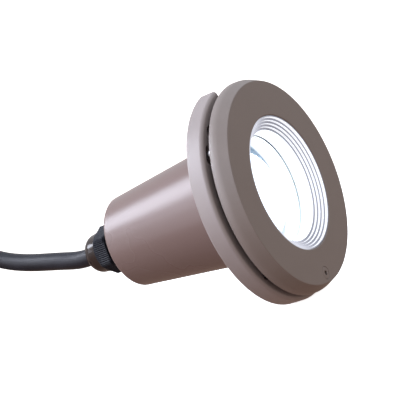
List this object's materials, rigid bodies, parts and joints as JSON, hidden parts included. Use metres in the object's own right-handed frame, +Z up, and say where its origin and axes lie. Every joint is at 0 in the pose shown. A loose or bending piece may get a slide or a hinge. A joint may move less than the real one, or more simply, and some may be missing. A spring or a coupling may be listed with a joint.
{
  "type": "underwater pool light",
  "caption": "Small round underwater pool light: ring bezel over a wall flange, stepped window, tapered housing, cable gland and coiled lead.",
  "frame": {"origin": "centre of the wall flange's rear face, on the light's axis, where it meets the wall", "axes": "+Y into the wall along the light's axis, +Z up with the locking screw at the bottom, -Y is the way the light shines"},
  "size_m": [0.1386, 0.4044, 0.1216],
  "materials": {
    "housing_plastic": "glossy moulded grey-brown plastic",
    "bezel_plastic": "satin moulded grey-brown plastic",
    "stainless": "plain",
    "brass": "plain",
    "black_nylon": "moulded, slightly glossy",
    "black_rubber": "matte",
    "cable_rubber": "matte",
    "white_plastic": "translucent white",
    "silicone": "translucent",
    "clear_glass": "clear",
    "reflector": "faceted",
    "lamp_glass": "frosted",
    "ceramic": "unglazed",
    "lead_sleeve": "silicone sleeve",
    "core_insulation": "coloured insulation",
    "tie_nylon": "natural nylon"
  },
  "bodies": {
    "light_body": {"wall_flange": "bezel_plastic", "housing": "housing_plastic", "lock_screw_insert": "brass", "clamp_ring": "black_nylon", "clamp_ring_screws": "stainless", "front_collar": "white_plastic", "front_gasket": "silicone", "lens_glass": "clear_glass", "rear_gasket": "silicone", "lamp_reflector": "reflector", "lamp_cover_glass": "clear_glass", "lamp_capsule": "lamp_glass", "lamp_base": "ceramic", "lamp_pins": "stainless", "lamp_holder": "ceramic", "holder_bracket": "stainless", "bracket_screws": "stainless", "lamp_leads": "lead_sleeve", "terminal_block": "white_plastic", "terminal_screws": "stainless", "cable_cores": "core_insulation", "gland_washer": "black_rubber", "gland_body": "black_nylon", "gland_locknut": "black_nylon", "gland_seal": "black_rubber", "cable_entry": "cable_rubber", "cable": "cable_rubber", "cable_coil": "cable_rubber", "coil_ties": "tie_nylon", "cable_tail": "cable_rubber", "tail_cores": "core_insulation", "tail_ferrules": "stainless"},
    "bezel": {"bezel": "bezel_plastic", "bezel_studs": "stainless"},
    "lock_washer": {"lock_screw_washer": "black_rubber"},
    "lock_screw": {"lock_screw": "bezel_plastic"},
    "gland_claw": {"gland_claw": "black_nylon"},
    "gland_nut": {"gland_nut": "black_nylon"}
  },
  "joints": [
    {"name": "bezel_off", "type": "slide", "parent": "light_body", "child": "bezel", "axis": [0, -1, 0], "range_m": [0, 0.03]},
    {"name": "lock_screw_out", "type": "slide", "parent": "bezel", "child": "lock_washer", "axis": [0, -1, 0], "range_m": [0, 0.007]},
    {"name": "lock_screw_turn", "type": "hinge", "parent": "lock_washer", "child": "lock_screw", "pos_m": [0, -0.02, -0.0519], "axis": [0, -1, 0], "range_deg": [0, 3605]},
    {"name": "gland_nut_out", "type": "slide", "parent": "light_body", "child": "gland_claw", "axis": [0, 1, 0], "range_m": [0, 0.0045]},
    {"name": "gland_nut_turn", "type": "hinge", "parent": "gland_claw", "child": "gland_nut", "pos_m": [0, 0.11, 0], "axis": [0, 1, 0], "range_deg": [0, 1085]}
  ],
  "couplings": [
    {"joint": "lock_screw_turn", "follows": "lock_screw_out", "rad_per_m": 8976},
    {"joint": "gland_nut_turn", "follows": "gland_nut_out", "rad_per_m": 4188.8}
  ]
}
